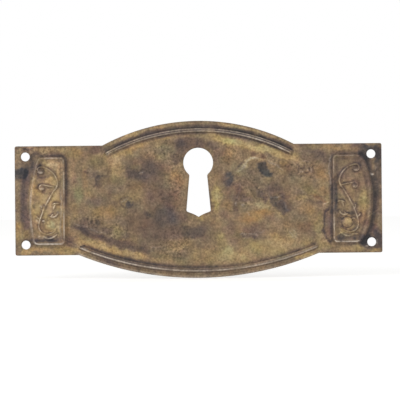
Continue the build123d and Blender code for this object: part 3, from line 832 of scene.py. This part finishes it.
relief["rim"] = (np.where(outer, outer_gap, panel_gap), np.where(outer, moat, inner_dirt_and_shade), rim_rub_and_highlight)
# Painted shade along the right bow's rim, which dims its highlight
tone -= rim_shade * on_right * on_bow * bell(panel_gap, rim_shade_half)
gold -= rim_greyness * bell(panel_gap, rim_grey_half)

# Ornament: dirt lies beside it, with painted shade above its forms, and high lines are rubbed and carry a
# painted highlight. The buds' upper halves get painted shade, and the fruit has more dirt round it on the
# right and less on the left
bud_shade = 0.28
ornament_wear_and_highlight = {1: 0.32, -1: 0.5}
fruit_dirt = {1: 0.6, -1: -0.6}
ornament_gap = ornament(all_x, all_z)[1]
facing_up = np.clip((ornament(all_x, all_z + probe)[1] - ornament_gap) / probe, 0, 1)
ornament_rub_and_highlight = worn * by_side(all_x, ornament_wear_and_highlight)
mirrored = np.abs(all_x) + 1j * all_z
for middle, radius, _ in buds:
    from_bud = (mirrored - on_panel(middle)) / radius
    upper_half = ease(1.1, 0.9, np.abs(from_bud)) * ease(-0.9, 0.2, from_bud.imag)
    tone -= bud_shade * upper_half
    ornament_rub_and_highlight *= 1 - upper_half
fruit_middle, fruit_radius, _ = fruit
from_fruit = np.abs(mirrored - on_panel(fruit_middle)) / fruit_radius
ornament_rub_and_highlight *= ease(0.9, 1.05, from_fruit)
ornament_dirt_and_shade = (0.18 + 0.16 * facing_up) * (0.4 + 0.6 * worn)
ornament_dirt_and_shade *= 1 + ease(1.5, 1.1, from_fruit) * by_side(all_x, fruit_dirt)
relief["ornament"] = (ornament_gap, ornament_dirt_and_shade, ornament_rub_and_highlight)

# Thin lines: the nearest one counts, by its distance in half widths, and part of the marks' shift moves them
thin_shift = 0.6
thin_ends = (0.5, 6)
line_place = [1, 1j] @ (thin_shift * shifted + (1 - thin_shift) * np.array([all_x, all_z]))
nearest = np.full(len(all_x), far_away)
pallor = np.zeros(len(all_x))
for places, half, change in thin_lines:
    distance, share = line_distance(line_place, np.array(places) @ [1, 1j])
    closer = distance / half < nearest
    nearest = np.where(closer, distance / half, nearest)
    pallor = np.where(closer, percent * change * end_fade(share, *thin_ends), pallor)
relief["thin_lines"] = (nearest, np.maximum(-pallor, 0), np.maximum(pallor, 0))

# Back: a duller, more even brown, with dirt in the hollow of the panels
back_usual_tone = 0.36
back_dirt = 0.14
back_dirt_gap = 0.3
back_dirt_half = 0.5
back_redness = 0.15
tone_range = (0.05, 1.6)
point_number = np.arange(len(all_x))
is_back = (point_number >= count) & (point_number < 2 * count)
back_tone = back_usual_tone + ripples(all_x, all_z, (14, 0.07, 31), (4, 0.04, 32))
back_tone -= back_dirt * bell(panel_gap - back_dirt_gap, back_dirt_half)
tone = np.where(is_back, back_tone, np.clip(tone, *tone_range))
redness = np.where(is_back, back_redness + ripples(all_x, all_z, (11, 0.2, 33)), redness)
gold = np.where(is_back, ripples(all_x, all_z, (7, 0.1, 34)), gold)

# Tint: gain of red, green and blue, so that redness lifts red and lowers the others, and gold lowers blue
red_gain = np.array([0.16, -0.06, -0.06])
gold_gain = np.array([0, 0, -0.27])
kept_reach = 3
layers = {"tone": tone, "speckle": speckle}
layers["tint"] = 1 + redness[:, None] * red_gain + gold[:, None] * gold_gain
for name, (distance, dirt_and_shade, rub_and_highlight) in relief.items():
    near = np.clip(distance, -kept_reach, kept_reach)
    layers[name] = np.stack([near, dirt_and_shade * ~is_back, rub_and_highlight * ~is_back], -1)
for name, values in layers.items():
    kind, field = ("FLOAT", "value") if values.ndim == 1 else ("FLOAT_VECTOR", "vector")
    layer = mesh.attributes.new(name, kind, "POINT")
    layer.data.foreach_set(field, values.astype(np.float32).ravel())


def linear(code):
    """A colour written as six hex digits, turned to linear light by the sRGB curve."""
    shown = np.array([int(code[i : i + 2], 16) for i in (1, 3, 5)]) / 255
    light = np.where(shown <= 0.04045, shown / 12.92, ((shown + 0.055) / 1.055) ** 2.4)
    return (*light.tolist(), 1.0)


def cleared(owner):
    """The node tree of a material or a world, emptied."""
    owner.use_nodes = True
    owner.node_tree.nodes.clear()
    return owner.node_tree


def add(tree, kind, feeds=None, stops=(), **settings):
    """Adds a node with its properties, and a colour ramp's stops as places and colours. Each named input gets
    a value, or a link from a socket or from another node's first output."""
    made = tree.nodes.new("ShaderNode" + kind)
    for key, value in settings.items():
        setattr(made, key, value)
    for key, value in (feeds or {}).items():
        source = value.outputs[0] if isinstance(value, bpy.types.Node) else value
        if isinstance(source, bpy.types.NodeSocket):
            tree.links.new(source, made.inputs[key])
        else:
            made.inputs[key].default_value = source
    for _ in stops[2:]:
        made.color_ramp.elements.new(0.5)
    for number, (position, colour) in enumerate(stops):
        made.color_ramp.elements[number].position = position
        made.color_ramp.elements[number].color = colour
    return made


# Aged brass: pressed sheet, unlacquered and never cleaned. To the eye it is a dull olive brown metal with
# purple-grey dirt in its corners, fine grain and pits, and a paler, smoother shine where it is rubbed. Its
# colour also carries painted shade on the upper sides of the relief, and painted highlights and glints
brass = bpy.data.materials.new("aged_brass")
skin = cleared(brass)
on_plate = add(skin, "TexCoord").outputs["Object"]
toned = add(skin, "Attribute", attribute_name="tone").outputs["Fac"]
speckled_here = add(skin, "Attribute", attribute_name="speckle").outputs["Fac"]

# Across each line of the relief, as millimetres from it, how much dirt and painted shade it has and how
# much wear and painted highlight. Ribs go from below to above their middle, the rim from inside to outside,
# and the ornament from on it to beside it. Thin lines go by half widths. The pale peaks across each rib are
# its worn crest and painted reflections of its round bead, with painted shade between them
line_reach = 2.0
across_lines = {
    "upper_rib": [
        (-1.5, 0, 0), (-1.25, 0.1, 0), (-1, 0.25, 0), (-0.75, 0.33, 0), (-0.6, 0.2, 0.05),
        (-0.47, 0.05, 0.5), (-0.35, 0, 0.8), (-0.23, 0.1, 0.45), (-0.1, 0.38, 0.02), (0.02, 0.36, 0),
        (0.12, 0.16, 0.3), (0.22, 0.06, 0.52), (0.32, 0.2, 0.25), (0.45, 0.44, 0), (0.68, 0.5, 0),
        (1, 0.34, 0), (1.25, 0.26, 0), (1.5, 0.12, 0), (1.75, 0, 0),
    ],
    "lower_rib": [
        (-2, 0, 0.4), (-1.7, 0, 0.32), (-1.45, 0, 0.04), (-1.2, 0.12, 0), (-0.8, 0.06, 0.03),
        (-0.6, 0.16, 0), (-0.45, 0.16, 0.02), (-0.3, 0.05, 0.42), (-0.16, 0, 0.9), (-0.02, 0.05, 0.42),
        (0.1, 0.2, 0.05), (0.24, 0.22, 0.02), (0.4, 0.08, 0.16), (0.55, 0.16, 0.04), (0.7, 0.34, 0),
        (0.85, 0.38, 0), (1, 0.3, 0), (1.25, 0.17, 0), (1.55, 0.05, 0), (1.9, 0, 0),
    ],
    "rim": [
        (-1.5, 0, 0), (-0.9, 1, 0), (-0.5, 0.5, 0), (-0.28, 0, 0), (-0.14, 0, 0.7), (0, 0, 1),
        (0.12, 0, 0.6), (0.26, 0.4, 0), (0.5, 1, 0), (0.8, 0.85, 0), (1.2, 0.35, 0), (1.7, 0, 0),
    ],
    "thin_lines": [(0, 1, 1), (0.5, 0.9, 0.9), (1.2, 0.2, 0.1), (1.8, 0, 0)],
    "ornament": [(-0.25, 0, 1), (-0.14, 0, 0.6), (-0.05, 0.4, 0), (0.1, 1, 0), (0.32, 0.5, 0), (0.7, 0, 0)],
}
rubbed_and_highlit = 0.0
for name, bands in across_lines.items():
    line = add(skin, "Attribute", attribute_name=name).outputs["Vector"]
    here = add(skin, "SeparateXYZ", {"Vector": line}).outputs
    across = add(skin, "MapRange", {"Value": here["X"], "From Min": -line_reach, "From Max": line_reach})
    stops = [((mm + line_reach) / (2 * line_reach), (dirt_and_shade, rub_and_highlight, 0, 1)) for mm, dirt_and_shade, rub_and_highlight in bands]
    band = add(skin, "ValToRGB", {"Fac": across}, stops)
    amount = add(skin, "SeparateColor", {"Color": band}).outputs
    dirt_and_shade_here = add(skin, "Math", {0: amount["Red"], 1: here["Y"]}, operation="MULTIPLY")
    toned = add(skin, "Math", {0: toned, 1: dirt_and_shade_here}, operation="SUBTRACT")
    rubbed_and_highlit = add(skin, "Math", {0: amount["Green"], 1: here["Z"], 2: rubbed_and_highlit}, operation="MULTIPLY_ADD")

# Blotches of the tarnish, 5 mm and 1.6 mm wide, change its tone, and the smaller ones its brightness too.
# Grain, and crisp pits and flecks where it is speckled, only make it lighter or darker. Both are finer on
# real brass, and are drawn 0.6 mm and 0.75 mm wide so that they show
grain_change = add(skin, "MapRange", {"Value": speckled_here, "To Min": 1.3, "To Max": 2.3})
noises = [(5, 3, 0.16, 0), (1.6, 4, 0.18, 0.4), (0.6, 2, 0, grain_change)]
noise_roughness = 0.6
brightness = 1.0
for size, detail, tone_change, light_change in noises:
    feeds = {"Vector": on_plate, "Scale": 1 / (size * metre), "Detail": detail, "Roughness": noise_roughness}
    centred = add(skin, "Math", {0: add(skin, "TexNoise", feeds), 1: 0.5}, operation="SUBTRACT")
    toned = add(skin, "Math", {0: centred, 1: tone_change, 2: toned}, operation="MULTIPLY_ADD")
    brightness = add(skin, "Math", {0: centred, 1: light_change, 2: brightness}, operation="MULTIPLY_ADD")
fleck_size = 0.75
for seed, light_change in [(1.0, -0.34), (2.0, 0.34)]:
    feeds = {"Vector": on_plate, "W": seed, "Scale": 1 / (fleck_size * metre), "Detail": 1}
    noise = add(skin, "TexNoise", feeds, noise_dimensions="4D")
    fleck = add(skin, "MapRange", {"Value": noise, "From Min": 0.54, "From Max": 0.68})
    shown = add(skin, "Math", {0: fleck, 1: speckled_here}, operation="MULTIPLY")
    brightness = add(skin, "Math", {0: shown, 1: light_change, 2: brightness}, operation="MULTIPLY_ADD")

tarnish_colours = [(0, "#2d2827"), (0.2, "#564941"), (0.35, "#6e5b4b"), (0.5, "#847057")]
tarnish_colours += [(0.66, "#998362"), (0.81, "#ad9977"), (1, "#c0ae92")]
rub_and_highlight_colour = "#bfb2a4"
tarnish = add(skin, "ValToRGB", {"Fac": toned}, [(at, linear(code)) for at, code in tarnish_colours])
tint = add(skin, "Attribute", attribute_name="tint").outputs["Vector"]
tinted = add(skin, "VectorMath", {0: tarnish, 1: tint}, operation="MULTIPLY")
feeds = {"Factor": rubbed_and_highlit, 6: tinted, 7: linear(rub_and_highlight_colour)}
worn_and_highlit = add(skin, "Mix", feeds, data_type="RGBA").outputs[2]
colour = add(skin, "VectorMath", {0: worn_and_highlit, "Scale": brightness}, operation="SCALE")

# Dull where it is dark, and smoother and more metallic where it is bright
feeds = {"Value": toned, "From Min": 0.15, "From Max": 0.8, "To Min": 0.62, "To Max": 0.44}
roughness = add(skin, "MapRange", feeds)
feeds = {"Value": toned, "From Min": 0.1, "From Max": 0.7, "To Min": 0.35, "To Max": 0.75}
metallic = add(skin, "MapRange", feeds)

# Pitted surface: fine corrosion, drawn wider and deeper than it is on real brass so that it shows
pit_width = 0.45
pit_depth = 0.05
pits = add(skin, "TexNoise", {"Vector": on_plate, "Scale": 1 / (pit_width * metre), "Detail": 3})
pitted = add(skin, "Bump", {"Height": pits, "Strength": 0.5, "Distance": pit_depth * metre})
feeds = {"Base Color": colour, "Roughness": roughness, "Metallic": metallic, "Normal": pitted}
add(skin, "OutputMaterial", {"Surface": add(skin, "BsdfPrincipled", feeds)})
mesh.materials.append(brass)

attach(plate, "root")
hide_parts("escutcheon_plate")

# Floor: a wide sheet of white paper, flat under the plate's lower edge. It is shown white, with the plate's
# soft shadow on it
floor_half = 1.5
floor_gap = 0.0002
floor_z = cad_box[0].z - floor_gap
floor_mesh = bpy.data.meshes.new("floor")
corners = [(-1, -1), (1, -1), (1, 1), (-1, 1)]
floor_mesh.from_pydata([(floor_half * a, floor_half * b, floor_z) for a, b in corners], [], [(0, 1, 2, 3)])
floor = added("floor", floor_mesh)


def seen_directly(tree):
    """1 where the camera, a mirror or glass sees a surface, and 0 where it only lights others: the largest of
    three kinds of ray."""
    path = add(tree, "LightPath").outputs
    seen = path["Is Camera Ray"]
    for kind in ("Is Glossy Ray", "Is Transmission Ray"):
        seen = add(tree, "Math", {0: seen, 1: path[kind]}, operation="MAXIMUM")
    return seen


# White paper: to the eye an even white, which takes a soft grey shadow. What the camera and mirrors see of it
# gets a little light of its own, so that it stays as white as the walls
paper_glow = 0.58
paper = bpy.data.materials.new("white_paper")
sheet_nodes = cleared(paper)
glow = add(sheet_nodes, "Math", {0: seen_directly(sheet_nodes), 1: paper_glow}, operation="MULTIPLY")
lit = add(sheet_nodes, "Emission", {"Strength": glow})
matt = add(sheet_nodes, "BsdfDiffuse", {"Color": linear("#f6f6f4")})
add(sheet_nodes, "OutputMaterial", {"Surface": add(sheet_nodes, "AddShader", {0: matt, 1: lit})})
floor_mesh.materials.append(paper)

# Studio light: a soft box before the plate to the left, a weaker one to the right, and white walls all round
# that the camera and the metal see as white
fill_strength = 0.42
world = bpy.data.worlds.new("studio")
bpy.context.scene.world = world
wall_nodes = cleared(world)
feeds = {"Value": seen_directly(wall_nodes), "To Min": fill_strength, "To Max": 1.0}
wall_strength = add(wall_nodes, "MapRange", feeds)
walls = add(wall_nodes, "Background", {"Color": linear("#ffffff"), "Strength": wall_strength})
add(wall_nodes, "OutputWorld", {"Surface": walls})

soft_boxes = [("key_light", (-0.45, -0.75, 0.3), 0.5, 2.6), ("fill_light", (0.6, -0.6, 0.15), 0.6, 0.9)]
for name, box_place, size, power in soft_boxes:
    lamp = bpy.data.lights.new(name, "AREA")
    lamp.size = size
    lamp.energy = power
    box = added(name, lamp)
    box.location = box_place
    aim = -np.array(box_place)
    box.rotation_euler = (np.arccos(-aim[2] / np.linalg.norm(aim)), 0, np.arctan2(aim[1], aim[0]) - np.pi / 2)

# Camera: square on to the face and rolled a little, as the photograph was taken. The plate's length and
# middle in the photograph, in pixels, set its scale and its place
photo_pixels = 400
plate_pixels = 367.1
plate_at_pixel = (198.5, 199.33)
photo_roll = np.radians(0.54)
camera_distance = 0.45
pixel = 2 * tab_end * metre / plate_pixels
lens = bpy.data.cameras.new("camera")
lens.lens = lens.sensor_width * (camera_distance - sheet * metre) / (photo_pixels * pixel)
camera = added("camera", lens)
middle_x = (photo_pixels / 2 - plate_at_pixel[0]) * pixel
middle_z = (plate_at_pixel[1] - photo_pixels / 2) * pixel
camera.location = (middle_x, -camera_distance, middle_z)
camera.rotation_euler = (np.pi / 2, photo_roll, 0)
bpy.context.scene.camera = camera
bpy.context.scene.view_settings.view_transform = "Standard"
